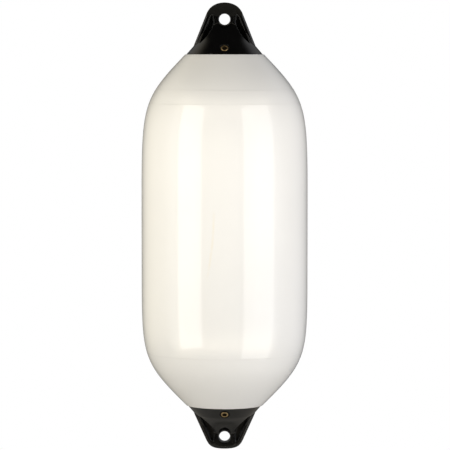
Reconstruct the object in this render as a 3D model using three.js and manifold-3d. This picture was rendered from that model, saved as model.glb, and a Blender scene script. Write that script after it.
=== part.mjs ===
// A boat fender that hangs upright: a hollow white vinyl shell, closed at each end by a moulded black
// rope eye, with a brass air valve in each eye's collar. Millimetres, +Z up along the fender's axis.
// The origin is the centre of the top eye's rope hole.
import * as THREE from "three";
import { mergeVertices } from "three/addons/utils/BufferGeometryUtils.js";
import Module from "manifold-3d";

// Shell
const shellRadius = 223;
const shellWall = 4;
const seamToSeam = 945.4;
const clearance = 0.3;

// Each end, measured from its seam, where the shell's lip meets the collar
const topEnd = {
  mouthRadius: 104.8,
  mouthAngle: 43.8,
  neckPull: 170,
  bellyPull: 277,
  shoulderLength: 409,
  rimRootHeight: 21.7,
  sideAngle: 21.75,
  crownHeight: 30,
  crownPull: 22.5,
  crownSpread: 21,
  holeHeight: 93.1,
  tipHeight: 137.9,
};
const bottomEnd = {
  mouthRadius: 102.5,
  mouthAngle: 45.3,
  neckPull: 169,
  bellyPull: 220,
  shoulderLength: 353,
  rimRootHeight: 19,
  sideAngle: 24.3,
  crownHeight: 31,
  crownPull: 23,
  crownSpread: 38,
  holeHeight: 84.2,
  tipHeight: 117.2,
};

// Collar and bell, shared by both ends
const collarAngle = 41;
const collarWall = 12;
const lipStandout = 2.2;
const collarEdgeRound = 1;
const skirtLength = 42;
const skirtThickness = 8;
const cavityDepthBelowRim = 6;
const bellStartAboveRim = 6;
const bellFootPull = 20;
const bellTopRadius = 17;
const bellTopAboveHole = 18;
const bellTopPull = 45;

// Rope eye, shared by both ends
const ropeHoleRadius = 15.6;
const ropeHoleRound = 5;
const padThickness = 38;
const padRadius = 25;
const padRound = 6;
const padInset = 4;
const padShoulderHalfWidth = 33;
const padShoulderAboveHole = 20;
const spotfaceRadius = 22.5;
const spotfaceMouthRadius = 26;
const spotfaceReach = 30;
const rimThickness = 34;
const rimWidth = 12;
const rimRound = 4;
const webThickness = 12;
const waistHalfWidth = 28.5;
const waistBelowHole = 5;
const waistPull = 22;
const pocketFootPull = 29;
const pocketFootAboveRim = 6;
const pocketTopAboveHole = 13;
const pocketCornerCut = 4;

// Valve, shared by both ends
const valveHeight = 15.5;
const bushFlangeRadius = 10.5;
const bushFlangeThickness = 2.5;
const bushEase = 0.5;
const bushTubeRadius = 7.2;
const bushLength = 20;
const bushRecessRadius = 6;
const bushRecessDepth = 11;
const airHoleRadius = 3;
const sealRadius = 12.7;
const sealThickness = 2.5;
const screwLength = 5.5;
const screwEase = 0.4;
const slotWidth = 1.6;
const slotDepth = 2;
const cutterOvershoot = 10;

// Fineness of the round surfaces
const shellSegments = 48;
const collarSegments = 48;
const holeSegments = 28;
const valveSegments = 24;
const shoulderSteps = 11;
const skirtSteps = 4;
const bellSteps = 9;
const lipSteps = 4;
const holeMouthSteps = 3;
const outlineSegments = 8;
const edgeSegments = 3;

const wasm = await Module();
wasm.setup();

const vinylWhite = new THREE.MeshStandardMaterial({ color: 0xf3ede0, roughness: 0.18, metalness: 0 });
const plasticBlack = new THREE.MeshStandardMaterial({ color: 0x101010, roughness: 0.35, metalness: 0 });
const brass = new THREE.MeshStandardMaterial({ color: 0xb08d57, roughness: 0.35, metalness: 1 });
const rubberBlack = new THREE.MeshStandardMaterial({ color: 0x0b0b0b, roughness: 0.8, metalness: 0 });

// A closed geometry as a solid: shared vertices are merged and triangles that close up on an axis dropped.
function solidOf(geometry) {
  const bare = geometry.clone();
  bare.deleteAttribute("normal");
  bare.deleteAttribute("uv");
  const merged = mergeVertices(bare, 1e-4);
  const triangles = [];
  for (let i = 0; i < merged.index.count; i += 3) {
    const corners = [0, 1, 2].map((k) => merged.index.getX(i + k));
    if (new Set(corners).size === 3) triangles.push(...corners);
  }
  return new wasm.Manifold(
    new wasm.Mesh({
      numProp: 3,
      vertProperties: new Float32Array(merged.attributes.position.array),
      triVerts: new Uint32Array(triangles),
    }),
  );
}

// A solid as a named mesh.
function meshOf(name, solid, material) {
  const { numProp, numVert, vertProperties, triVerts } = solid.getMesh();
  const positions = new Float32Array(numVert * 3);
  for (let i = 0; i < numVert; i += 1) {
    positions.set(vertProperties.subarray(i * numProp, i * numProp + 3), i * 3);
  }
  const geometry = new THREE.BufferGeometry();
  geometry.setAttribute("position", new THREE.BufferAttribute(positions, 3));
  geometry.setIndex(new THREE.BufferAttribute(triVerts, 1));
  geometry.computeVertexNormals();
  const mesh = new THREE.Mesh(geometry, material);
  mesh.name = name;
  return mesh;
}

// A profile of radius and height turned round +Z. It runs up its outside.
function turned(profile, segments) {
  return new THREE.LatheGeometry(profile, segments).rotateX(Math.PI / 2);
}

// A shape of width and height extruded along Y, centred on Y = 0, with its edges rounded by round.
function slab(shape, thickness, round) {
  const geometry = new THREE.ExtrudeGeometry(shape, {
    depth: thickness - 2 * round,
    bevelEnabled: round > 0,
    bevelThickness: round,
    bevelSize: round,
    bevelOffset: -round,
    bevelSegments: edgeSegments,
    curveSegments: outlineSegments,
  });
  return geometry.translate(0, 0, round - thickness / 2).rotateX(Math.PI / 2);
}

const radians = THREE.MathUtils.degToRad;
const point = (x, y) => new THREE.Vector2(x, y);

// The unit direction along the shell's outside at its mouth, towards the tip, and the one out of the shell.
function mouthDirections(end) {
  const angle = radians(end.mouthAngle);
  return { along: point(-Math.sin(angle), Math.cos(angle)), out: point(Math.cos(angle), Math.sin(angle)) };
}

// The shell's outside from its mouth to its straight middle, as radius and height above the seam.
function shoulderCurve(end) {
  const { along } = mouthDirections(end);
  const mouth = point(end.mouthRadius, 0);
  return new THREE.CubicBezierCurve(
    mouth,
    mouth.clone().addScaledVector(along, -end.neckPull),
    point(shellRadius, end.bellyPull - end.shoulderLength),
    point(shellRadius, -end.shoulderLength),
  );
}

// The share of the shoulder's curve, 0 at the mouth and 1 at its foot, at which it has fallen this far.
function shoulderShare(curve, fall) {
  let low = 0;
  let high = 1;
  while (high - low > 1e-9) {
    const middle = (low + high) / 2;
    if (-curve.getPoint(middle).y < fall) low = middle;
    else high = middle;
  }
  return high;
}

// Points of the shoulder moved inwards by depth, from the mouth to where the outside has fallen this far.
function shoulderPoints(end, depth, fall, steps) {
  const curve = shoulderCurve(end);
  const lastShare = shoulderShare(curve, fall);
  return Array.from({ length: steps + 1 }, (_, i) => {
    const share = (lastShare * i) / steps;
    const at = curve.getPoint(share);
    const heading = curve.getTangent(share);
    return point(at.x + depth * heading.y, at.y - depth * heading.x);
  });
}

// Turns in radians, in equal steps from nothing to this many degrees.
function turnsTo(degrees, steps) {
  return Array.from({ length: steps + 1 }, (_, i) => radians((degrees * i) / steps));
}

// The shell's full-round lip, from its outside over to its inside.
function lipPoints(end) {
  const { along, out } = mouthDirections(end);
  const round = shellWall / 2;
  const centre = point(end.mouthRadius, 0).addScaledVector(out, -round).addScaledVector(along, -round);
  return turnsTo(180, lipSteps).map((turn) =>
    centre
      .clone()
      .addScaledVector(out, round * Math.cos(turn))
      .addScaledVector(along, round * Math.sin(turn)),
  );
}

// One half of the shell's section, from the middle's outside over the lip to the middle's inside.
function shellHalf(end) {
  const outside = shoulderPoints(end, 0, end.shoulderLength, shoulderSteps).slice(1).reverse();
  const inside = shoulderPoints(end, shellWall, end.shoulderLength, shoulderSteps).slice(1);
  return [...outside, ...lipPoints(end), ...inside];
}

const topSeamZ = -topEnd.holeHeight;
const bottomSeamZ = topSeamZ - seamToSeam;

function bodyShell() {
  const upper = shellHalf(topEnd).map((p) => point(p.x, topSeamZ + p.y));
  const lower = shellHalf(bottomEnd).map((p) => point(p.x, bottomSeamZ - p.y)).reverse();
  const profile = [...upper, ...lower, upper[0]];
  return meshOf("body_shell", solidOf(turned(profile, shellSegments)), vinylWhite);
}

// The collar's edge beside the lip, and the collar's cone above it.
function collarCone(end) {
  const { along, out } = mouthDirections(end);
  const step = point(end.mouthRadius, 0).addScaledVector(along, clearance);
  const foot = step.clone().addScaledVector(out, -shellWall - clearance);
  const edge = step.clone().addScaledVector(out, -lipStandout - collarEdgeRound);
  const rim = step.clone().addScaledVector(out, -lipStandout).addScaledVector(along, collarEdgeRound);
  const taper = Math.tan(radians(collarAngle));
  const radiusAt = (height) => rim.x - taper * (height - rim.y);
  return { foot, edge, rim, radiusAt };
}

// Collar, skirt and bell as one turned solid. The skirt lies against the shell's inside, and the underside
// is a shallow cavity that the air passage opens into.
function collarAndBell(end) {
  const cone = collarCone(end);
  const cavityTop = end.rimRootHeight - cavityDepthBelowRim;
  const cavityRadius = cone.radiusAt(cavityTop) - collarWall / Math.cos(radians(collarAngle));
  const skirtOutside = shoulderPoints(end, shellWall + clearance, skirtLength, skirtSteps);
  const skirtInside = shoulderPoints(end, shellWall + clearance + skirtThickness, skirtLength, skirtSteps);
  const bellStart = end.rimRootHeight + bellStartAboveRim;
  const bellTop = end.holeHeight + bellTopAboveHole;
  const lean = radians(collarAngle);
  const bell = new THREE.CubicBezierCurve(
    point(cone.radiusAt(bellStart), bellStart),
    point(
      cone.radiusAt(bellStart) - bellFootPull * Math.sin(lean),
      bellStart + bellFootPull * Math.cos(lean),
    ),
    point(bellTopRadius, bellTop - bellTopPull),
    point(bellTopRadius, bellTop),
  );
  const profile = [
    point(0, cavityTop),
    point(cavityRadius, cavityTop),
    ...skirtInside,
    ...skirtOutside.reverse(),
    cone.foot,
    cone.edge,
    cone.rim,
    ...bell.getPoints(bellSteps),
    point(0, bellTop),
  ];
  return solidOf(turned(profile, collarSegments));
}

// The eye's outline at its sides: half its width at a height above the seam.
function sideHalfWidth(end, height) {
  const rootHalfWidth = collarCone(end).radiusAt(end.rimRootHeight);
  return rootHalfWidth - (height - end.rimRootHeight) * Math.tan(radians(end.sideAngle));
}

// The rope eye seen from the front: straight sides that lean in from the collar, and a round crown.
function eyeOutline(end) {
  const lean = radians(end.sideAngle);
  const crownStart = end.tipHeight - end.crownHeight;
  const crownHalfWidth = sideHalfWidth(end, crownStart);
  const root = end.rimRootHeight - rimRound / 2;
  const rootHalfWidth = sideHalfWidth(end, root);
  const pullX = crownHalfWidth - end.crownPull * Math.sin(lean);
  const pullZ = crownStart + end.crownPull * Math.cos(lean);
  const shape = new THREE.Shape();
  shape.moveTo(-rootHalfWidth, root);
  shape.lineTo(rootHalfWidth, root);
  shape.lineTo(crownHalfWidth, crownStart);
  shape.bezierCurveTo(pullX, pullZ, end.crownSpread, end.tipHeight, 0, end.tipHeight);
  shape.bezierCurveTo(-end.crownSpread, end.tipHeight, -pullX, pullZ, -crownHalfWidth, crownStart);
  shape.closePath();
  return shape;
}

// The thick pad round the rope hole: a round foot under the hole that widens to follow the crown.
function padOutline(end) {
  const crown = end.tipHeight - padInset;
  const shoulder = end.holeHeight + padShoulderAboveHole;
  const spread = end.crownSpread - padInset;
  const shape = new THREE.Shape();
  shape.absarc(0, end.holeHeight, padRadius, Math.PI, 2 * Math.PI, false);
  shape.bezierCurveTo(padShoulderHalfWidth, shoulder, spread, crown, 0, crown);
  shape.bezierCurveTo(-spread, crown, -padShoulderHalfWidth, shoulder, -padRadius, end.holeHeight);
  return shape;
}

// One pocket between the rim and the bell, on the side of +X or -X.
function pocketOutline(end, side) {
  const footHeight = end.rimRootHeight + pocketFootAboveRim;
  const rimInset = rimWidth / Math.cos(radians(end.sideAngle));
  const rimEdge = (height) => sideHalfWidth(end, height) - rimInset;
  const waistHeight = end.holeHeight - waistBelowHole;
  const topHeight = end.holeHeight + pocketTopAboveHole;
  const lean = radians(collarAngle);
  const shape = new THREE.Shape();
  shape.moveTo(side * rimEdge(footHeight), footHeight);
  shape.bezierCurveTo(
    side * (rimEdge(footHeight) - pocketFootPull * Math.sin(lean)),
    footHeight + pocketFootPull * Math.cos(lean),
    side * waistHalfWidth,
    waistHeight - waistPull,
    side * waistHalfWidth,
    waistHeight,
  );
  shape.lineTo(side * (rimEdge(topHeight) - pocketCornerCut), topHeight);
  shape.lineTo(side * rimEdge(topHeight - pocketCornerCut), topHeight - pocketCornerCut);
  shape.closePath();
  return shape;
}

// The four pockets: each side, front and back, from the web's face outwards.
function pockets(end) {
  const reach = collarCone(end).radiusAt(0);
  const depth = reach - webThickness / 2;
  return [-1, 1].flatMap((side) =>
    [-1, 1].map((facing) => {
      const cut = slab(pocketOutline(end, side), depth, 0);
      return solidOf(cut.translate(0, facing * (webThickness / 2 + depth / 2), 0));
    }),
  );
}

// What the rope hole takes away: a bore with round mouths at the pad's faces, and in front of each mouth
// a flared spotface that clears the bell below the hole.
function ropeHoleCut(end) {
  const face = padThickness / 2;
  const mouthArc = turnsTo(90, holeMouthSteps).map((turn) =>
    point(ropeHoleRadius + ropeHoleRound * (1 - Math.cos(turn)), face - ropeHoleRound * (1 - Math.sin(turn))),
  );
  const half = [...mouthArc, point(spotfaceRadius, face), point(spotfaceMouthRadius, face + spotfaceReach)];
  const mirrored = half.map((p) => point(p.x, -p.y)).reverse();
  const profile = [
    point(0, -face - spotfaceReach),
    ...mirrored,
    ...half,
    point(0, face + spotfaceReach),
  ];
  return solidOf(new THREE.LatheGeometry(profile, holeSegments).translate(0, 0, end.holeHeight));
}

// Where the valve sits on the collar's front, with +Y of its own frame out along its axis.
function valvePlace(end) {
  const lean = radians(collarAngle);
  const outwards = new THREE.Vector3(0, -Math.cos(lean), Math.sin(lean));
  return {
    position: new THREE.Vector3(0, -collarCone(end).radiusAt(valveHeight), valveHeight),
    quaternion: new THREE.Quaternion().setFromUnitVectors(new THREE.Vector3(0, 1, 0), outwards),
  };
}

const counterboreDepth = bushFlangeThickness + sealThickness + 2 * clearance;

// The counterbore for flange and seal, and the bore for the bush, as one stepped cutter.
function valveCut(end) {
  const profile = [
    point(0, -bushLength - cutterOvershoot),
    point(bushTubeRadius + clearance, -bushLength - cutterOvershoot),
    point(bushTubeRadius + clearance, -counterboreDepth),
    point(sealRadius + clearance, -counterboreDepth),
    point(sealRadius + clearance, cutterOvershoot),
    point(0, cutterOvershoot),
  ];
  const { position, quaternion } = valvePlace(end);
  const cut = new THREE.LatheGeometry(profile, valveSegments).applyQuaternion(quaternion);
  return solidOf(cut.translate(position.x, position.y, position.z));
}

function ropeEye(end, name) {
  let solid = collarAndBell(end)
    .add(solidOf(slab(eyeOutline(end), rimThickness, rimRound)));
  for (const pocket of pockets(end)) solid = solid.subtract(pocket);
  solid = solid
    .add(solidOf(slab(padOutline(end), padThickness, padRound)))
    .subtract(ropeHoleCut(end))
    .subtract(valveCut(end));
  return meshOf(`${name}_rope_eye`, solid, plasticBlack);
}

// The brass bush: a flange flush with the collar, and a tube with a recess for the screw and an air hole.
function valveBush(end, name) {
  const profile = [
    point(airHoleRadius, -bushLength),
    point(bushTubeRadius, -bushLength),
    point(bushTubeRadius, -bushFlangeThickness),
    point(bushFlangeRadius, -bushFlangeThickness),
    point(bushFlangeRadius, -bushEase),
    point(bushFlangeRadius - bushEase, 0),
    point(bushRecessRadius + bushEase, 0),
    point(bushRecessRadius, -bushEase),
    point(bushRecessRadius, -bushRecessDepth),
    point(airHoleRadius, -bushRecessDepth),
    point(airHoleRadius, -bushLength),
  ];
  return meshOf(`${name}_valve_bush`, solidOf(new THREE.LatheGeometry(profile, valveSegments)), brass);
}

// The rubber washer under the flange.
function valveSeal(end, name) {
  const top = -bushFlangeThickness - clearance;
  const bottom = top - sealThickness;
  const hole = bushTubeRadius + clearance;
  const profile = [
    point(hole, bottom),
    point(sealRadius, bottom),
    point(sealRadius, top),
    point(hole, top),
    point(hole, bottom),
  ];
  return meshOf(`${name}_valve_seal`, solidOf(new THREE.LatheGeometry(profile, valveSegments)), rubberBlack);
}

// The slotted brass screw that closes the air hole. It stands on the step at the recess's foot.
function valveScrew(end, name) {
  const radius = bushRecessRadius - clearance;
  const foot = -bushRecessDepth + clearance;
  const head = foot + screwLength;
  const slotLength = 2 * (radius + cutterOvershoot);
  const profile = [
    point(0, foot),
    point(radius, foot),
    point(radius, head - screwEase),
    point(radius - screwEase, head),
    point(0, head),
  ];
  const slot = new THREE.BoxGeometry(slotLength, 2 * slotDepth, slotWidth).translate(0, head, 0);
  const solid = solidOf(new THREE.LatheGeometry(profile, valveSegments)).subtract(solidOf(slot));
  return meshOf(`${name}_valve_screw`, solid, brass);
}

// One end with its valve, its seam at Z = 0 and its tip upwards.
function fenderEnd(end, name) {
  const valve = new THREE.Group();
  const { position, quaternion } = valvePlace(end);
  valve.position.copy(position);
  valve.quaternion.copy(quaternion);
  valve.add(valveBush(end, name), valveSeal(end, name), valveScrew(end, name));
  const group = new THREE.Group();
  group.add(ropeEye(end, name), valve);
  return group;
}

const fender = new THREE.Group();
fender.add(bodyShell());

const top = fenderEnd(topEnd, "top");
top.position.z = topSeamZ;
fender.add(top);

// The lower end is the other way up, with its valve on the same side.
const bottom = fenderEnd(bottomEnd, "bottom");
bottom.position.z = bottomSeamZ;
bottom.rotation.y = Math.PI;
fender.add(bottom);

export default fender;
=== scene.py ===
import math

import bpy
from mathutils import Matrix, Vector


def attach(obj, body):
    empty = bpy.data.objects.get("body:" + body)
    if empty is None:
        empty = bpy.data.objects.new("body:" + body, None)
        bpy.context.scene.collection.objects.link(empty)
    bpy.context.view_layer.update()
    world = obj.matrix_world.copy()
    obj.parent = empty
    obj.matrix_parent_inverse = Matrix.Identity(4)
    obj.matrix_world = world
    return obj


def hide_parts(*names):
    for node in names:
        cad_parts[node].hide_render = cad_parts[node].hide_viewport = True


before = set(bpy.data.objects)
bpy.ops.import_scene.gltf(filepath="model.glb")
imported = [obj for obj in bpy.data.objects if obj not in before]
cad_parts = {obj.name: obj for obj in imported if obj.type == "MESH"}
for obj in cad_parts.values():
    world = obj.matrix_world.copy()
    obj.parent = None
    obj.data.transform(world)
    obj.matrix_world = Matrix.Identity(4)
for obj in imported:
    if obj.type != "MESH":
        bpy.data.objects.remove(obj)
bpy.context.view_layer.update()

MM = 0.001

# Shell
SHELL_RADIUS = 223.0
SHELL_WALL = 4.0
SEAM_TO_SEAM = 945.4
CLEARANCE = 0.3

# Each end, measured from its seam, where the shell's lip meets the collar
TOP_END = {
    "mouth_radius": 104.8,
    "mouth_angle": 43.8,
    "neck_pull": 170.0,
    "belly_pull": 277.0,
    "shoulder_length": 409.0,
    "rim_root": 21.7,
    "side_angle": 21.75,
    "crown_height": 30.0,
    "crown_pull": 22.5,
    "crown_spread": 21.0,
    "rim_round": 5.0,
    "crown_taper": 10.5,
    "bell_flattening": 46.0,
    "hole_height": 93.1,
    "tip_height": 137.9,
}
BOTTOM_END = {
    "mouth_radius": 102.5,
    "mouth_angle": 45.3,
    "neck_pull": 169.0,
    "belly_pull": 220.0,
    "shoulder_length": 353.0,
    "rim_root": 19.0,
    "side_angle": 24.3,
    "crown_height": 31.0,
    "crown_pull": 23.0,
    "crown_spread": 38.0,
    "rim_round": 6.0,
    "crown_taper": 0.0,
    "bell_flattening": 38.0,
    "hole_height": 84.2,
    "tip_height": 117.2,
}
TOP_SEAM = -TOP_END["hole_height"]
BOTTOM_SEAM = TOP_SEAM - SEAM_TO_SEAM

# The ring marks that the shell's mould left, then the groove behind each lip: the height of each, and how far
# it stands out
MOULD_RINGS = (
    (-189.4, 0.1),
    (-226.9, 0.15),
    (-892.9, 0.12),
    (-920.6, 0.12),
    (-98.0, -0.35),
    (-1034.0, -0.35),
)
RING_HALF_WIDTH = 1.6
# Across a ring, in half widths, and the share of its height there
RING_SECTION = ((-1.3, 0), (-1, 0.0), (-0.5, 0.6), (0, 1.0), (0.5, 0.6), (1, 0.0), (1.3, 0))

# Collar and bell
COLLAR_ANGLE = 41.0
COLLAR_WALL = 12.0
LIP_STANDOUT = 2.2
COLLAR_EDGE = 1.0
SKIRT_LENGTH = 42.0
SKIRT_THICKNESS = 8.0
CAVITY_BELOW_RIM = 6.0
BELL_ABOVE_RIM = 6.0
BELL_FOOT_PULL = 20.0
BELL_TOP_RADIUS = 15.0
BELL_TOP_ABOVE_HOLE = 18.0
BELL_TOP_PULL = 45.0
BELL_WIDENING = 1.7
BELL_FLAT_BELOW_HOLE = 18.0

# Rope eye
HOLE_RADIUS = 14.9
HOLE_ROUND = 2.5
SPOTFACE_RADIUS = 18.5
SPOTFACE_MOUTH_RADIUS = 33.8
SPOTFACE_REACH = 30.0
PAD_THICKNESS = 38.0
PAD_RADIUS = 25.0
PAD_ROUND = 2.5
PAD_INSET = 4.0
PAD_SHOULDER_HALF_WIDTH = 36.0
PAD_SHOULDER_ABOVE_HOLE = 20.0
TAPER_ABOVE_HOLE = 6.0
TAPER_BLOCK = 60.0
TAPER_BLOCK_WIDENING = 3
RIM_THICKNESS = 37.0
RIM_WIDTH = 12.0
WEB_THICKNESS = 7.0
WAIST_HALF_WIDTH = 28.5
WAIST_BELOW_HOLE = 5.0
WAIST_PULL = 22.0
POCKET_FOOT_PULL = 29.0
POCKET_FOOT_ANGLE = 50.0
POCKET_FOOT_ABOVE_RIM = 6.0
POCKET_TOP_ABOVE_HOLE = 13.0
POCKET_CORNER = 4.0
POCKET_MIDDLE_BELOW_WAIST = 8.0
# How a pocket narrows towards its floor: how far above the floor, and which share of its width and of its
# height is left there
POCKET_FILLET = ((9.0, 1.0, 1.0), (0.6, 0.985, 0.995), (0.0, 0.95, 0.98))

# Valve
VALVE_HEIGHT = 15.5
VALVE_CUTTER_DEPTH = 30.0
VALVE_CUTTER_HEIGHT = 10.0
FLANGE_RADIUS = 9.8
FLANGE_THICKNESS = 2.5
FLANGE_STANDOUT = 1.4
FLANGE_ROUND = 1.4
FLANGE_CHAMFER = 0.3
TUBE_RADIUS = 7.2
BUSH_LENGTH = 20.0
RECESS_RADIUS = 6.0
RECESS_DEPTH = 11.0
# The recess's eased mouth: how far outside the recess, and how far below the flange's top
RECESS_MOUTH = ((0.8, 0.0), (0.3, 0.2))
THREAD_START = 0.9
THREAD_PITCH = 1.0
THREAD_DEPTH = 0.45
AIR_HOLE_RADIUS = 3.0
SEAL_RADIUS = 12.7
SEAL_THICKNESS = 2.5
SCREW_LENGTH = 5.5
# The screw's eased edge: how far in from its side, and how far below its head
SCREW_EDGE = ((0.0, 0.5), (0.15, 0.15), (0.5, 0.0))
SLOT_WIDTH = 1.6
SLOT_DEPTH = 2.0

# Fineness of turned pieces, curves and rounds
SHELL_SEGMENTS = 192
COLLAR_SEGMENTS = 128
HOLE_SEGMENTS = 96
VALVE_SEGMENTS = 72
VALVE_HOLE_SEGMENTS = 64
SHOULDER_STEPS = 44
INSIDE_STEPS = 18
LIP_STEPS = 10
MIDDLE_STEPS = 6
SKIRT_STEPS = 60
BELL_STEPS = 24
CROWN_STEPS = 16
PAD_STEPS = 14
POCKET_STEPS = 14
PAD_FOOT_DEGREES = 9
ROUND_DEGREES = 15
BEVEL_SEGMENTS = 4
BEVEL_ABOVE_DEGREES = 50

# Skin of the mouldings
VOXEL = 0.8
SOFTENING = 0.5
SOFTENING_ROUNDS = 8
MOULDING_FACES = 190000

# Edges that bend by more than these degrees stay sharp
SHELL_CREASE = 40
VALVE_CREASE = 35

# Points nearer than this, in metres, are one
SAME_PLACE = 1e-6
SAME_PLACE_ON_LINE = 1e-7


def only(piece):
    """Selects one object and makes it the active one."""
    bpy.ops.object.select_all(action="DESELECT")
    piece.select_set(True)
    bpy.context.view_layer.objects.active = piece


def apply_modifier(piece, modifier):
    """Puts a modifier's result into the piece's mesh."""
    only(piece)
    bpy.ops.object.modifier_apply(modifier=modifier.name)


def combine(piece, other, operation):
    """Joins or cuts piece with other, which is used up."""
    boolean = piece.modifiers.new("combine", "BOOLEAN")
    boolean.operation = operation
    boolean.solver = "EXACT"
    boolean.object = other
    apply_modifier(piece, boolean)
    bpy.data.objects.remove(other, do_unlink=True)


def settle(piece):
    """Puts a piece's place into its mesh."""
    only(piece)
    bpy.ops.object.transform_apply(location=True, rotation=True, scale=True)


def smooth_below(piece, degrees):
    """Smooths a piece over every edge that bends by less than this."""
    only(piece)
    bpy.ops.object.shade_smooth_by_angle(angle=math.radians(degrees))


def draw_line(name, points):
    """One line through points given in millimetres, drawn by extruding its end from place to place."""
    bpy.ops.object.select_all(action="DESELECT")
    bpy.ops.mesh.primitive_plane_add(size=MM)
    piece = bpy.context.object
    piece.name = name
    bpy.ops.object.mode_set(mode="EDIT")
    bpy.ops.mesh.merge(type="CENTER")
    places = [Vector(point) * MM for point in points]
    bpy.ops.transform.translate(value=places[0])
    for before, after in zip(places, places[1:]):
        bpy.ops.mesh.extrude_vertices_move(TRANSFORM_OT_translate={"value": after - before})
    bpy.ops.mesh.select_all(action="SELECT")
    bpy.ops.mesh.remove_doubles(threshold=SAME_PLACE_ON_LINE)
    bpy.ops.object.mode_set(mode="OBJECT")
    return piece


def turn(name, profile, segments, axis=(0, 0, 1)):
    """A solid turned from a profile of radius and height that ends on the axis or closes on itself."""
    if axis == (0, 1, 0):
        points = [(radius, height, 0) for radius, height in profile]
    else:
        points = [(radius, 0, height) for radius, height in profile]
    piece = draw_line(name, points)
    only(piece)
    bpy.ops.object.mode_set(mode="EDIT")
    bpy.ops.mesh.select_all(action="SELECT")
    bpy.ops.mesh.spin(steps=segments, angle=math.tau, center=(0, 0, 0), axis=axis)
    bpy.ops.mesh.select_all(action="SELECT")
    bpy.ops.mesh.remove_doubles(threshold=SAME_PLACE)
    bpy.ops.mesh.normals_make_consistent(inside=False)
    bpy.ops.object.mode_set(mode="OBJECT")
    return piece


def plate(name, outline, thickness, rounding):
    """A plate with an outline of width and height, centred on Y = 0, with its edges rounded."""
    half = thickness / 2
    points = [(x, -half, z) for x, z in outline]
    piece = draw_line(name, points + points[:1])
    only(piece)
    bpy.ops.object.mode_set(mode="EDIT")
    bpy.ops.mesh.select_all(action="SELECT")
    bpy.ops.mesh.edge_face_add()
    bpy.ops.mesh.extrude_region_move(TRANSFORM_OT_translate={"value": (0, thickness * MM, 0)})
    bpy.ops.mesh.select_all(action="SELECT")
    bpy.ops.mesh.normals_make_consistent(inside=False)
    bpy.ops.object.mode_set(mode="OBJECT")
    bevel = piece.modifiers.new("round", "BEVEL")
    bevel.width = rounding * MM
    bevel.segments = BEVEL_SEGMENTS
    bevel.limit_method = "ANGLE"
    bevel.angle_limit = math.radians(BEVEL_ABOVE_DEGREES)
    apply_modifier(piece, bevel)
    return piece


def bezier(start, pull, push, finish, steps):
    """Points of a cubic curve with both ends included."""
    points = []
    for i in range(steps + 1):
        t = i / steps
        weights = ((1 - t) ** 3, 3 * t * (1 - t) ** 2, 3 * t**2 * (1 - t), t**3)
        corners = (start, pull, push, finish)
        points.append(tuple(sum(w * corner[k] for w, corner in zip(weights, corners)) for k in (0, 1)))
    return points


def angles(first, last, step=ROUND_DEGREES):
    """The angles of a round's points, from one in degrees to another."""
    return [math.radians(degrees) for degrees in range(first, last + 1, step)]


def mouth_directions(end):
    """Two unit directions at the shell's mouth: along its outside to the tip, and square out of it."""
    angle = math.radians(end["mouth_angle"])
    return (-math.sin(angle), math.cos(angle)), (math.cos(angle), math.sin(angle))


def shoulder(end, steps):
    """The shell's outside, as radius and height above the seam, from the mouth to the straight middle."""
    along, _ = mouth_directions(end)
    mouth = (end["mouth_radius"], 0.0)
    neck = (mouth[0] - end["neck_pull"] * along[0], -end["neck_pull"] * along[1])
    belly = (SHELL_RADIUS, end["belly_pull"] - end["shoulder_length"])
    return bezier(mouth, neck, belly, (SHELL_RADIUS, -end["shoulder_length"]), steps)


def offset_inwards(points, depth):
    """The line moved inwards by depth, square to its own direction. It runs away from the mouth."""
    moved = []
    for i, (radius, height) in enumerate(points):
        before = points[max(i - 1, 0)]
        after = points[min(i + 1, len(points) - 1)]
        run = (after[0] - before[0], after[1] - before[1])
        length = math.hypot(*run)
        moved.append((radius + depth * run[1] / length, height - depth * run[0] / length))
    return moved


def lip(end):
    """The shell's full-round lip, from its outside over to its inside."""
    along, out = mouth_directions(end)
    half = SHELL_WALL / 2
    centre = (end["mouth_radius"] - half * (out[0] + along[0]), -half * (out[1] + along[1]))
    turns = [math.pi * i / LIP_STEPS for i in range(LIP_STEPS + 1)]
    return [
        tuple(centre[k] + half * (out[k] * math.cos(turn) + along[k] * math.sin(turn)) for k in (0, 1))
        for turn in turns
    ]


def with_rings(points):
    """The shell's outside with a small ridge or groove added at each ring that the mould left."""
    finished = []
    for (radius, height), (next_radius, next_height) in zip(points, points[1:] + points[-1:]):
        finished.append((radius, height))
        for ring, standout in MOULD_RINGS:
            if not next_height < ring <= height:
                continue
            share = (height - ring) / (height - next_height)
            at = radius + (next_radius - radius) * share
            slope = (next_radius - radius) / (height - next_height)
            for place, rise in RING_SECTION:
                across = place * RING_HALF_WIDTH
                finished.append((at + slope * across + rise * standout, ring - across))
    return finished


def at_top(points):
    """Points of the top end, measured from its seam, at their heights on the fender."""
    return [(radius, TOP_SEAM + height) for radius, height in points]


def at_bottom(points):
    """Points of the bottom end, measured from its seam, at their heights on the fender."""
    return [(radius, BOTTOM_SEAM - height) for radius, height in points]


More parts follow.
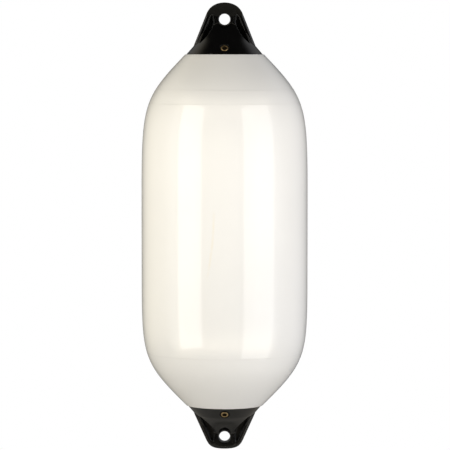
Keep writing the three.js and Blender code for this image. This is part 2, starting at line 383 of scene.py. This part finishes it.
def body_shell():
    """The shell, turned as one wall: the outside from lip to lip, and back along the inside."""
    outer_top = at_top(shoulder(TOP_END, SHOULDER_STEPS))
    outer_bottom = at_bottom(shoulder(BOTTOM_END, SHOULDER_STEPS))
    inner_top = at_top(offset_inwards(shoulder(TOP_END, INSIDE_STEPS), SHELL_WALL))
    inner_bottom = at_bottom(offset_inwards(shoulder(BOTTOM_END, INSIDE_STEPS), SHELL_WALL))
    high, low = outer_top[-1][1], outer_bottom[-1][1]
    middle = [(SHELL_RADIUS, high + (low - high) * i / MIDDLE_STEPS) for i in range(1, MIDDLE_STEPS)]
    outside = with_rings(outer_top[1:] + middle + outer_bottom[::-1][:-1])
    inside = inner_bottom[1:] + inner_top[::-1][:-1]
    profile = at_top(lip(TOP_END))[::-1] + outside + at_bottom(lip(BOTTOM_END)) + inside
    shell = turn("vinyl_shell", profile + profile[:1], SHELL_SEGMENTS)
    smooth_below(shell, SHELL_CREASE)
    return shell


def collar_cone(end):
    """The collar's foot under the lip, its edge beside the lip, its rim, and the cone's radius by height."""
    along, out = mouth_directions(end)

    def near_mouth(outwards, onwards):
        return (
            end["mouth_radius"] + outwards * out[0] + onwards * along[0],
            outwards * out[1] + onwards * along[1],
        )

    foot = near_mouth(-SHELL_WALL - CLEARANCE, CLEARANCE)
    edge = near_mouth(-LIP_STANDOUT - COLLAR_EDGE, CLEARANCE)
    rim = near_mouth(-LIP_STANDOUT, CLEARANCE + COLLAR_EDGE)
    taper = math.tan(math.radians(COLLAR_ANGLE))
    return foot, edge, rim, lambda height: rim[0] - taper * (height - rim[1])


def collar_and_bell(end):
    """Collar, skirt and bell as one turned solid, with the shallow cavity under them."""
    foot, edge, rim, radius_at = collar_cone(end)
    lean = math.radians(COLLAR_ANGLE)
    cavity_top = end["rim_root"] - CAVITY_BELOW_RIM
    cavity_radius = radius_at(cavity_top) - COLLAR_WALL / math.cos(lean)
    neck = [p for p in shoulder(end, SKIRT_STEPS) if -p[1] <= SKIRT_LENGTH]
    skirt_outside = offset_inwards(neck, SHELL_WALL + CLEARANCE)
    skirt_inside = offset_inwards(neck, SHELL_WALL + CLEARANCE + SKIRT_THICKNESS)
    start = end["rim_root"] + BELL_ABOVE_RIM
    top = end["hole_height"] + BELL_TOP_ABOVE_HOLE
    bell = bezier(
        (radius_at(start), start),
        (radius_at(start) - BELL_FOOT_PULL * math.sin(lean), start + BELL_FOOT_PULL * math.cos(lean)),
        (BELL_TOP_RADIUS, top - BELL_TOP_PULL),
        (BELL_TOP_RADIUS, top),
        BELL_STEPS,
    )
    profile = [(0, cavity_top), (cavity_radius, cavity_top)]
    profile += skirt_inside + skirt_outside[::-1]
    profile += [foot, edge, rim] + bell + [(0, top)]
    turned = turn("collar", profile, COLLAR_SEGMENTS)
    flatten_bell(turned, end, [height for _, height in bell])
    return turned


def flatten_bell(turned, end, heights):
    """Widens the bell's rings sideways, more and more towards the rope hole, so its front grows flatter."""
    only(turned)
    flat = end["hole_height"] - BELL_FLAT_BELOW_HOLE
    for height in heights:
        share = min(1, max(0, 1 - (flat - height) / end["bell_flattening"]))
        if not share:
            continue
        for corner in turned.data.vertices:
            corner.select = abs(corner.co.z - height * MM) < SAME_PLACE
        bpy.ops.object.mode_set(mode="EDIT")
        eased = share * share * (3 - 2 * share)
        wider = 1 + (BELL_WIDENING - 1) * eased
        bpy.ops.transform.resize(value=(wider, 1, 1), center_override=(0, 0, height * MM))
        bpy.ops.mesh.select_all(action="DESELECT")
        bpy.ops.object.mode_set(mode="OBJECT")


def side_half_width(end, height):
    """Half the eye's width at a height above the seam, along its straight sides."""
    _, _, _, radius_at = collar_cone(end)
    return radius_at(end["rim_root"]) - (height - end["rim_root"]) * math.tan(math.radians(end["side_angle"]))


def both_sides(right):
    """An outline's right side, from the bottom up to the crown, with its mirror image."""
    return right + [(-x, z) for x, z in right[::-1] if abs(x) > SAME_PLACE]


def eye_plate(end):
    """The rope eye's plate seen from the front: straight sides that lean in, and a round crown."""
    lean = math.radians(end["side_angle"])
    crown_start = end["tip_height"] - end["crown_height"]
    crown_half = side_half_width(end, crown_start)
    root = end["rim_root"] - end["rim_round"] / 2
    crown = bezier(
        (crown_half, crown_start),
        (crown_half - end["crown_pull"] * math.sin(lean), crown_start + end["crown_pull"] * math.cos(lean)),
        (end["crown_spread"], end["tip_height"]),
        (0.0, end["tip_height"]),
        CROWN_STEPS,
    )
    outline = both_sides([(side_half_width(end, root), root)] + crown)
    return plate("eye_plate", outline, RIM_THICKNESS, end["rim_round"])


def pad(end):
    """The thick pad round the rope hole: round under the hole, and following the crown over it."""
    crown = end["tip_height"] - PAD_INSET
    hole = end["hole_height"]
    foot = [
        (PAD_RADIUS * math.sin(a), hole - PAD_RADIUS * math.cos(a))
        for a in angles(0, 90 - PAD_FOOT_DEGREES, PAD_FOOT_DEGREES)
    ]
    rise = bezier(
        (PAD_RADIUS, hole),
        (PAD_SHOULDER_HALF_WIDTH, hole + PAD_SHOULDER_ABOVE_HOLE),
        (end["crown_spread"] - PAD_INSET, crown),
        (0.0, crown),
        PAD_STEPS,
    )
    return plate("pad", both_sides(foot + rise), PAD_THICKNESS, PAD_ROUND)


def pocket(end, side, facing):
    """What is cut away between rim and bell on one side, from the web's face outwards."""
    lean = math.radians(POCKET_FOOT_ANGLE)
    inset = RIM_WIDTH / math.cos(math.radians(end["side_angle"]))
    foot = end["rim_root"] + POCKET_FOOT_ABOVE_RIM
    waist = end["hole_height"] - WAIST_BELOW_HOLE
    top = end["hole_height"] + POCKET_TOP_ABOVE_HOLE

    def rim_edge(height):
        return side_half_width(end, height) - inset

    inner = bezier(
        (rim_edge(foot), foot),
        (rim_edge(foot) - POCKET_FOOT_PULL * math.sin(lean), foot + POCKET_FOOT_PULL * math.cos(lean)),
        (WAIST_HALF_WIDTH, waist - WAIST_PULL),
        (WAIST_HALF_WIDTH, waist),
        POCKET_STEPS,
    )
    outline = inner + [
        (rim_edge(top) - POCKET_CORNER, top),
        (rim_edge(top - POCKET_CORNER), top - POCKET_CORNER),
    ]
    # The outline is drawn in front of the eye and pushed in to the web's face, narrowing as it comes near.
    front = collar_cone(end)[3](0)
    cutter = draw_line("pocket", [(side * x, facing * front, z) for x, z in outline + outline[:1]])
    middle_across = side * (rim_edge(waist) + WAIST_HALF_WIDTH) / 2
    middle = Vector((middle_across, 0, waist - POCKET_MIDDLE_BELOW_WAIST)) * MM
    only(cutter)
    bpy.ops.object.mode_set(mode="EDIT")
    bpy.ops.mesh.select_all(action="SELECT")
    bpy.ops.mesh.edge_face_add()
    at, across, along = front, 1.0, 1.0
    for above, next_across, next_along in POCKET_FILLET:
        place = WEB_THICKNESS / 2 + above
        step = (0, facing * (place - at) * MM, 0)
        bpy.ops.mesh.extrude_region_move(TRANSFORM_OT_translate={"value": step})
        share = (next_across / across, 1, next_along / along)
        bpy.ops.transform.resize(value=share, center_override=middle)
        at, across, along = place, next_across, next_along
    bpy.ops.mesh.select_all(action="SELECT")
    bpy.ops.mesh.normals_make_consistent(inside=False)
    bpy.ops.object.mode_set(mode="OBJECT")
    return cutter


def rope_hole(end):
    """What the rope hole takes away: a bore with round mouths, and a flared spotface in front of each."""
    face = PAD_THICKNESS / 2
    reach = face + SPOTFACE_REACH
    mouth = [
        (HOLE_RADIUS + HOLE_ROUND * (1 - math.cos(a)), face - HOLE_ROUND * (1 - math.sin(a)))
        for a in angles(0, 90)
    ]
    half = mouth + [(SPOTFACE_RADIUS, face), (SPOTFACE_MOUTH_RADIUS, reach)]
    profile = [(0, -reach)] + [(r, -y) for r, y in half[::-1]] + half + [(0, reach)]
    cutter = turn("rope_hole", profile, HOLE_SEGMENTS, axis=(0, 1, 0))
    cutter.location.z = end["hole_height"] * MM
    settle(cutter)
    return cutter


def crown_taper(end, facing):
    """A block that leans back over the hole and takes the crown's face down towards its tip."""
    half = TAPER_BLOCK / 2
    bpy.ops.object.select_all(action="DESELECT")
    bpy.ops.mesh.primitive_cube_add(size=TAPER_BLOCK * MM, location=(0, facing * half * MM, half * MM))
    block = bpy.context.object
    block.scale.x = TAPER_BLOCK_WIDENING
    settle(block)
    block.rotation_euler.x = facing * math.radians(end["crown_taper"])
    block.location = Vector((0, facing * PAD_THICKNESS / 2, end["hole_height"] + TAPER_ABOVE_HOLE)) * MM
    settle(block)
    return block


def put_on_collar(piece, end):
    """Moves a piece turned upright at the origin to the valve's place, with its axis square to the collar."""
    radius_at = collar_cone(end)[3]
    piece.rotation_euler.x = math.radians(90 - COLLAR_ANGLE)
    piece.location = Vector((0, -radius_at(VALVE_HEIGHT), VALVE_HEIGHT)) * MM
    settle(piece)
    return piece


def valve_hole(end):
    """The counterbore for flange and seal, and the bore for the bush."""
    depth = FLANGE_THICKNESS + SEAL_THICKNESS + 2 * CLEARANCE
    bore = TUBE_RADIUS + CLEARANCE
    wide = SEAL_RADIUS + CLEARANCE
    profile = [(0, -VALVE_CUTTER_DEPTH), (bore, -VALVE_CUTTER_DEPTH), (bore, -depth), (wide, -depth)]
    profile += [(wide, VALVE_CUTTER_HEIGHT), (0, VALVE_CUTTER_HEIGHT)]
    return put_on_collar(turn("valve_hole", profile, VALVE_HOLE_SEGMENTS), end)


def skin(eye):
    """Gives a moulding an even skin: meshed anew, drawn back onto its exact faces, and softened."""
    only(eye)
    bpy.ops.object.duplicate()
    exact = bpy.context.object
    remesh = eye.modifiers.new("skin", "REMESH")
    remesh.mode = "VOXEL"
    remesh.voxel_size = VOXEL * MM
    apply_modifier(eye, remesh)
    fit = eye.modifiers.new("fit", "SHRINKWRAP")
    fit.target = exact
    fit.wrap_method = "NEAREST_SURFACEPOINT"
    apply_modifier(eye, fit)
    soften = eye.modifiers.new("soften", "SMOOTH")
    soften.factor = SOFTENING
    soften.iterations = SOFTENING_ROUNDS
    apply_modifier(eye, soften)
    thin = eye.modifiers.new("thin", "DECIMATE")
    thin.ratio = min(1.0, MOULDING_FACES / (2 * len(eye.data.polygons)))
    apply_modifier(eye, thin)
    bpy.data.objects.remove(exact, do_unlink=True)
    only(eye)
    bpy.ops.object.shade_smooth()


def rope_eye(end, name):
    """Collar, bell, plate, pad and hole as one moulding with softened corners."""
    eye = collar_and_bell(end)
    eye.name = name
    combine(eye, eye_plate(end), "UNION")
    for side in (-1, 1):
        for facing in (-1, 1):
            combine(eye, pocket(end, side, facing), "DIFFERENCE")
    combine(eye, pad(end), "UNION")
    if end["crown_taper"]:
        for facing in (-1, 1):
            combine(eye, crown_taper(end, facing), "DIFFERENCE")
    combine(eye, rope_hole(end), "DIFFERENCE")
    combine(eye, valve_hole(end), "DIFFERENCE")
    skin(eye)
    return eye


def valve_bush(end, name):
    """The brass bush: a tube, a flange with a round edge, and a recess with a few turns of thread."""
    profile = [(AIR_HOLE_RADIUS, -BUSH_LENGTH), (TUBE_RADIUS, -BUSH_LENGTH), (TUBE_RADIUS, -FLANGE_THICKNESS)]
    profile += [
        (FLANGE_RADIUS - FLANGE_CHAMFER, -FLANGE_THICKNESS),
        (FLANGE_RADIUS, -FLANGE_THICKNESS + FLANGE_CHAMFER),
    ]
    round_radius = FLANGE_RADIUS - FLANGE_ROUND
    round_height = FLANGE_STANDOUT - FLANGE_ROUND
    profile += [
        (round_radius + FLANGE_ROUND * math.cos(a), round_height + FLANGE_ROUND * math.sin(a))
        for a in angles(0, 90)
    ]
    profile += [(RECESS_RADIUS + outside, FLANGE_STANDOUT - below) for outside, below in RECESS_MOUTH]
    profile += [(RECESS_RADIUS, 0.0)]
    for i in range(int((RECESS_DEPTH - SCREW_LENGTH) / THREAD_PITCH)):
        base = -THREAD_START - i * THREAD_PITCH
        profile += [
            (RECESS_RADIUS, base),
            (RECESS_RADIUS + THREAD_DEPTH, base - THREAD_PITCH / 2),
            (RECESS_RADIUS, base - THREAD_PITCH),
        ]
    profile += [(RECESS_RADIUS, -RECESS_DEPTH), (AIR_HOLE_RADIUS, -RECESS_DEPTH)]
    profile += [(AIR_HOLE_RADIUS, -BUSH_LENGTH)]
    bush = put_on_collar(turn(name, profile, VALVE_SEGMENTS), end)
    smooth_below(bush, VALVE_CREASE)
    return bush


def valve_seal(end, name):
    """The rubber washer under the flange, with a round outer edge."""
    top = -FLANGE_THICKNESS - CLEARANCE
    hole = TUBE_RADIUS + CLEARANCE
    half = SEAL_THICKNESS / 2
    edge = [
        (SEAL_RADIUS - half + half * math.cos(a), top - half + half * math.sin(a)) for a in angles(-90, 90)
    ]
    profile = [(hole, top - SEAL_THICKNESS)] + edge + [(hole, top), (hole, top - SEAL_THICKNESS)]
    seal = put_on_collar(turn(name, profile, VALVE_SEGMENTS), end)
    smooth_below(seal, VALVE_CREASE)
    return seal


def valve_screw(end, name):
    """The slotted screw that closes the air hole."""
    radius = RECESS_RADIUS - CLEARANCE
    foot = -RECESS_DEPTH + CLEARANCE
    head = foot + SCREW_LENGTH
    edge = [(radius - inwards, head - below) for inwards, below in SCREW_EDGE]
    screw = turn(name, [(0, foot), (radius, foot)] + edge + [(0, head)], VALVE_SEGMENTS)
    bpy.ops.mesh.primitive_cube_add(size=MM, location=(0, 0, head * MM))
    slot_cutter = bpy.context.object
    slot_cutter.scale = (4 * radius, SLOT_WIDTH, 2 * SLOT_DEPTH)
    settle(slot_cutter)
    combine(screw, slot_cutter, "DIFFERENCE")
    put_on_collar(screw, end)
    smooth_below(screw, VALVE_CREASE)
    return screw


# Materials

# Most of a noise lies between these values
NOISE_LOW = 0.3
NOISE_HIGH = 0.7

# A painted reflection on the shell's front, drawn as a faint yellow streak, with its sizes in metres. It
# drifts left by the square of its fall times its bend.
PAINTED_REFLECTION_COLOUR = (0.885, 0.85, 0.77)
STREAK_START = -0.50
STREAK_LENGTH = 0.19
STREAK_LEFT = 0.028
STREAK_BEND = 0.55
STREAK_HALF_WIDTH = 0.005
STREAK_FADE_IN = 0.03
STREAK_FADE_OUT = 0.05


def new_material(name):
    """A material, its node tree and its shader."""
    material = bpy.data.materials.new(name)
    material.use_nodes = True
    tree = material.node_tree
    return material, tree, tree.nodes["Principled BSDF"]


def add(tree, kind, **settings):
    """A new node with its settings."""
    node = tree.nodes.new(kind)
    for key, value in settings.items():
        setattr(node, key, value)
    return node


def feed(tree, sockets, values):
    """Gives sockets their values, each a link from another socket or a fixed one."""
    for socket, value in zip(sockets, values):
        if isinstance(value, bpy.types.NodeSocket):
            tree.links.new(value, socket)
        else:
            socket.default_value = value


def calculate(tree, operation, *values, clamp=False):
    """One step of arithmetic on sockets and numbers."""
    node = add(tree, "ShaderNodeMath", operation=operation, use_clamp=clamp)
    feed(tree, node.inputs, values)
    return node.outputs["Value"]


def calculate_vector(tree, operation, *values):
    """One step of arithmetic on colours or places, as sockets or fixed ones."""
    node = add(tree, "ShaderNodeVectorMath", operation=operation)
    feed(tree, node.inputs, values)
    return node.outputs["Value" if operation == "LENGTH" else "Vector"]


def mix_colours(tree, share, first, second):
    """Goes from a colour's socket to a fixed colour by a share."""
    node = add(tree, "ShaderNodeMix", data_type="RGBA")
    tree.links.new(share, node.inputs["Factor"])
    feed(tree, [socket for socket in node.inputs if socket.type == "RGBA"], (first, (*second, 1)))
    return [socket for socket in node.outputs if socket.type == "RGBA"][0]


def mix_shaders(tree, share, first, second):
    """Goes from one shader to another by a share."""
    node = add(tree, "ShaderNodeMixShader")
    feed(tree, node.inputs, (share, first, second))
    return node.outputs["Shader"]


def rise(tree, value, begins, full):
    """Goes softly from 0, where the value is begins, to 1, where it is full."""
    node = add(tree, "ShaderNodeMapRange", interpolation_type="SMOOTHSTEP")
    feed(tree, node.inputs, (value, begins, full))
    return node.outputs["Result"]


def noise(tree, scale, detail=3.0):
    """Noise in the piece's own coordinates."""
    place = add(tree, "ShaderNodeTexCoord")
    texture = add(tree, "ShaderNodeTexNoise")
    texture.inputs["Scale"].default_value = scale
    texture.inputs["Detail"].default_value = detail
    tree.links.new(place.outputs["Object"], texture.inputs["Vector"])
    return texture.outputs["Fac"]


def ramp(tree, factor, stops):
    """A colour between two, each given with the factor where it is reached."""
    node = add(tree, "ShaderNodeValToRGB")
    for element, (position, colour) in zip(node.color_ramp.elements, stops):
        element.position = position
        element.color = (*colour, 1)
    tree.links.new(factor, node.inputs["Fac"])
    return node.outputs["Color"]


def spread(tree, scale, low, high):
    """A value that wanders between two in patches."""
    node = add(tree, "ShaderNodeMapRange")
    feed(tree, node.inputs, (noise(tree, scale), NOISE_LOW, NOISE_HIGH, low, high))
    return node.outputs["Result"]


def mottle(tree, scale, dark, light, dark_below=NOISE_LOW):
    """A colour that wanders between two in patches."""
    return ramp(tree, noise(tree, scale), ((dark_below, dark), (NOISE_HIGH, light)))


def bump(tree, shader, scale, strength, distance, detail=3.0):
    """Fine unevenness of a surface."""
    node = add(tree, "ShaderNodeBump")
    node.inputs["Strength"].default_value = strength
    node.inputs["Distance"].default_value = distance
    tree.links.new(noise(tree, scale, detail), node.inputs["Height"])
    tree.links.new(node.outputs["Normal"], shader.inputs["Normal"])


def painted_reflection_streak(tree):
    """How strong the painted reflection is: a faint yellow streak that runs down the shell's front and bends
    to its left.
    """
    place = add(tree, "ShaderNodeTexCoord")
    parts = add(tree, "ShaderNodeSeparateXYZ")
    tree.links.new(place.outputs["Object"], parts.inputs["Vector"])
    across, depth, height = parts.outputs
    fall = calculate(tree, "SUBTRACT", STREAK_START, height)
    drift = calculate(tree, "MULTIPLY", calculate(tree, "MULTIPLY", fall, fall), STREAK_BEND)
    left = calculate(tree, "ADD", drift, STREAK_LEFT)
    beside = calculate(tree, "ABSOLUTE", calculate(tree, "ADD", across, left))
    share_beside = calculate(tree, "DIVIDE", beside, STREAK_HALF_WIDTH)
    narrow = calculate(tree, "SUBTRACT", 1.0, share_beside, clamp=True)
    begun = calculate(tree, "DIVIDE", fall, STREAK_FADE_IN, clamp=True)
    to_go = calculate(tree, "SUBTRACT", STREAK_LENGTH, fall)
    lasting = calculate(tree, "DIVIDE", to_go, STREAK_FADE_OUT, clamp=True)
    in_front = calculate(tree, "LESS_THAN", depth, 0.0)
    strength = spread(tree, scale=60.0, low=0.2, high=0.9)
    for part in (narrow, begun, lasting, in_front):
        strength = calculate(tree, "MULTIPLY", strength, part)
    return strength


def white_vinyl():
    material, tree, shader = new_material("glossy_white_vinyl")
    tone = mottle(tree, scale=4.0, dark=(0.877, 0.88, 0.884), light=(0.907, 0.91, 0.914))
    # The shell's white gets a painted reflection, drawn as a faint yellow streak on its front.
    with_painted_reflection = mix_colours(tree, painted_reflection_streak(tree), tone, PAINTED_REFLECTION_COLOUR)
    tree.links.new(with_painted_reflection, shader.inputs["Base Color"])
    tree.links.new(spread(tree, scale=9.0, low=0.06, high=0.1), shader.inputs["Roughness"])
    shader.inputs["Specular IOR Level"].default_value = 0.8
    bump(tree, shader, scale=14.0, strength=0.05, distance=0.002, detail=2.0)
    return material


def black_vinyl():
    material, tree, shader = new_material("satin_black_vinyl")
    tone = mottle(tree, scale=40.0, dark=(0.0012, 0.0012, 0.0013), light=(0.0022, 0.0022, 0.0023))
    tree.links.new(tone, shader.inputs["Base Color"])
    tree.links.new(spread(tree, scale=60.0, low=0.13, high=0.2), shader.inputs["Roughness"])
    shader.inputs["Specular IOR Level"].default_value = 0.45
    bump(tree, shader, scale=500.0, strength=0.05, distance=0.0005)
    return material


def turned_brass():
    """Dull brass, with painted shade that darkens it in its corners and recess."""
    material, tree, shader = new_material("dull_turned_brass")
    tone = mottle(tree, scale=350.0, dark=(0.30, 0.21, 0.10), light=(0.55, 0.41, 0.22))
    open_air = add(tree, "ShaderNodeAmbientOcclusion", samples=8)
    open_air.inputs["Distance"].default_value = 0.015
    # Painted shade: the brass goes almost black where ambient occlusion finds it enclosed, as in its recess.
    painted_recess_shade = ramp(tree, open_air.outputs["AO"], ((0.55, (0.03, 0.025, 0.02)), (0.97, (1.0, 1.0, 1.0))))
    tree.links.new(calculate_vector(tree, "MULTIPLY", tone, painted_recess_shade), shader.inputs["Base Color"])
    shader.inputs["Metallic"].default_value = 1.0
    tree.links.new(spread(tree, scale=500.0, low=0.28, high=0.5), shader.inputs["Roughness"])
    bump(tree, shader, scale=1800.0, strength=0.1, distance=0.0002)
    return material


# The screw's brass: a much darker copy of the bush's brass. It is painted shade for its place deep in the
# recess, mottled at random.
def brass_in_painted_shade():
    material, tree, shader = new_material("brass_in_painted_shade")
    tone = mottle(tree, scale=600.0, dark=(0.05, 0.04, 0.028), light=(0.14, 0.11, 0.07), dark_below=0.35)
    tree.links.new(tone, shader.inputs["Base Color"])
    shader.inputs["Metallic"].default_value = 1.0
    tree.links.new(spread(tree, scale=500.0, low=0.4, high=0.6), shader.inputs["Roughness"])
    bump(tree, shader, scale=1800.0, strength=0.15, distance=0.0002)
    return material


def seal_rubber():
    material, tree, shader = new_material("matt_seal_rubber")
    tone = mottle(tree, scale=250.0, dark=(0.002, 0.002, 0.002), light=(0.005, 0.005, 0.005))
    tree.links.new(tone, shader.inputs["Base Color"])
    tree.links.new(spread(tree, scale=400.0, low=0.4, high=0.55), shader.inputs["Roughness"])
    shader.inputs["Specular IOR Level"].default_value = 0.25
    bump(tree, shader, scale=1500.0, strength=0.15, distance=0.0002)
    return material


# Studio, with its sizes in metres

LENS = 232.4
SENSOR_WIDTH = 36
CAMERA_DISTANCE = 7.8
CAMERA_TILT_DOWN = 3.367
CAMERA_SIDE_STEP = 0.0011
CAMERA_REACH = 100
FLOOR_HEIGHT = -1.62
FLOOR_RADIUS = 2.4
FLOOR_CORNERS = 96
FLOOR_FADES_FROM = 1.0
FLOOR_FADES_TO = 2.3
# The share of plain white in how the camera sees the floor
FLOOR_WHITE = 0.75
WHITE = (1, 1, 1)

# What the studio's walls send, by direction: the bands along X, Y and Z that a wall lies between, each from
# where it begins to where it is full, and its light
WALLS = (
    ((("Y", 0.1, -0.3), ("Y", -0.98, -0.84), ("Z", 0.25, 0.45), ("Z", 0.85, 0.55)), (0.82, 0.76, 0.63)),
    ((("Y", 0.1, -0.3), ("Y", -0.9, -0.65), ("Z", 0.5, 0.2), ("Z", -0.5, -0.2)), (0.35, 0.39, 0.47)),
    ((("X", -0.3, -0.9), ("Z", 0.88, 0.66), ("Z", -0.45, -0.1)), (0.58, 0.51, 0.34)),
    ((("X", 0.3, 0.9), ("Z", 0.85, 0.62), ("Z", -0.45, -0.1)), (0.29, 0.285, 0.31)),
    ((("Y", 0.0, 0.6), ("Z", 0.15, 0.4), ("Z", 0.85, 0.6)), (0.28, 0.28, 0.28)),
    ((("Y", 0.0, 0.6), ("Z", 0.3, 0.1)), (0.11, 0.11, 0.11)),
    ((("Z", 0.4, 0.7),), (0.025, 0.024, 0.022)),
    ((("Z", -0.1, -0.4), ("Y", 0.0, -0.4)), (1.84, 1.66, 1.32)),
)


def set_camera():
    """A long lens level with the top seam, tilted down to the fender's middle."""
    bpy.ops.object.camera_add(
        location=(CAMERA_SIDE_STEP, -CAMERA_DISTANCE, TOP_SEAM * MM),
        rotation=(math.radians(90 - CAMERA_TILT_DOWN), 0, 0),
    )
    camera = bpy.context.object
    camera.data.sensor_width = SENSOR_WIDTH
    camera.data.lens = LENS
    camera.data.clip_end = CAMERA_REACH
    bpy.context.scene.camera = camera


def softbox(name, centre, azimuth, width, low, high, radiance):
    """A tall white softbox at a place in plan, facing the fender, from a low height to a high one."""
    height = high - low
    bpy.ops.object.light_add(type="AREA", location=(centre[0], centre[1], (low + high) / 2))
    lamp = bpy.context.object
    lamp.name = name
    lamp.rotation_euler = (math.radians(90), 0, math.radians(azimuth))
    lamp.data.shape = "RECTANGLE"
    lamp.data.size = width
    lamp.data.size_y = height
    lamp.data.energy = radiance * math.pi * width * height
    lamp.visible_camera = False


def set_lamps():
    softbox("left_softbox", (-0.70, -0.72), azimuth=-50.0, width=0.569, low=-1.21, high=0.33, radiance=1.47)
    softbox("right_softbox", (0.695, -0.726), azimuth=49.4, width=0.761, low=-1.53, high=0.35, radiance=1.24)


def set_world():
    """The studio's walls, which light the fender. The camera sees plain white behind it."""
    world = bpy.data.worlds.new("white_studio")
    bpy.context.scene.world = world
    world.use_nodes = True
    tree = world.node_tree
    direction = add(tree, "ShaderNodeTexCoord")
    parts = add(tree, "ShaderNodeSeparateXYZ")
    tree.links.new(direction.outputs["Generated"], parts.inputs["Vector"])
    room = (0, 0, 0)
    for bands, light in WALLS:
        wall = 1.0
        for axis, begins, full in bands:
            wall = calculate(tree, "MULTIPLY", wall, rise(tree, parts.outputs[axis], begins, full))
        room = calculate_vector(tree, "ADD", room, calculate_vector(tree, "MULTIPLY", light, wall))
    rays = add(tree, "ShaderNodeLightPath")
    seen = mix_colours(tree, rays.outputs["Is Camera Ray"], room, WHITE)
    tree.links.new(seen, tree.nodes["Background"].inputs["Color"])


def set_floor():
    """A pale round floor that looks almost white to the camera and fades out towards its edge."""
    bpy.ops.object.select_all(action="DESELECT")
    bpy.ops.mesh.primitive_circle_add(
        vertices=FLOOR_CORNERS, radius=FLOOR_RADIUS, fill_type="NGON", location=(0, 0, FLOOR_HEIGHT)
    )
    floor = bpy.context.object
    floor.name = "studio_floor"
    settle(floor)
    material, tree, shader = new_material("pale_floor")
    shader.inputs["Roughness"].default_value = 0.9
    shader.inputs["Specular IOR Level"].default_value = 0.1
    tone = mottle(tree, scale=1.5, dark=(0.81, 0.805, 0.79), light=(0.83, 0.825, 0.81))
    tree.links.new(tone, shader.inputs["Base Color"])
    rays = add(tree, "ShaderNodeLightPath")
    whitened = calculate(tree, "MULTIPLY", rays.outputs["Is Camera Ray"], FLOOR_WHITE)
    glow = add(tree, "ShaderNodeEmission")
    lit = mix_shaders(tree, whitened, shader.outputs["BSDF"], glow.outputs["Emission"])
    place = add(tree, "ShaderNodeTexCoord")
    in_plan = calculate_vector(tree, "MULTIPLY", place.outputs["Object"], (1, 1, 0))
    faded = rise(tree, calculate_vector(tree, "LENGTH", in_plan), FLOOR_FADES_FROM, FLOOR_FADES_TO)
    clear = add(tree, "ShaderNodeBsdfTransparent")
    whole = mix_shaders(tree, faded, lit, clear.outputs["BSDF"])
    tree.links.new(whole, tree.nodes["Material Output"].inputs["Surface"])
    floor.data.materials.append(material)


def hand_over(piece, node, material):
    """Gives a finished piece its material, hangs it under the root, and hides the CAD part of the node it
    stands for.
    """
    piece.data.materials.clear()
    piece.data.materials.append(material)
    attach(piece, "root")
    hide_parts(node)


def fender_end(end, side, finishes):
    """One end with its valve, made with its tip up. The bottom one is then turned over."""
    black, brass, rubber, dull = finishes
    made = [
        (rope_eye(end, f"{side}_eye_moulding"), f"{side}_rope_eye", "eye_plastic", black),
        (valve_bush(end, f"{side}_brass_bush"), f"{side}_valve_bush", "valve_brass", brass),
        (valve_seal(end, f"{side}_rubber_seal"), f"{side}_valve_seal", "seal_rubber", rubber),
        # The screw takes the darker brass, which is painted shade for its place deep in the recess.
        (valve_screw(end, f"{side}_slotted_screw"), f"{side}_valve_screw", "valve_brass", dull),
    ]
    for piece, node, slot, material in made:
        if side == "top":
            piece.location.z = TOP_SEAM * MM
        else:
            piece.rotation_euler.y = math.pi
            piece.location.z = BOTTOM_SEAM * MM
        settle(piece)
        hand_over(piece, node, material)


set_camera()
set_lamps()
set_world()
set_floor()

hand_over(body_shell(), "body_shell", white_vinyl())
end_finishes = (black_vinyl(), turned_brass(), seal_rubber(), brass_in_painted_shade())
fender_end(TOP_END, "top", end_finishes)
fender_end(BOTTOM_END, "bottom", end_finishes)

bpy.context.scene.view_settings.view_transform = "Standard"
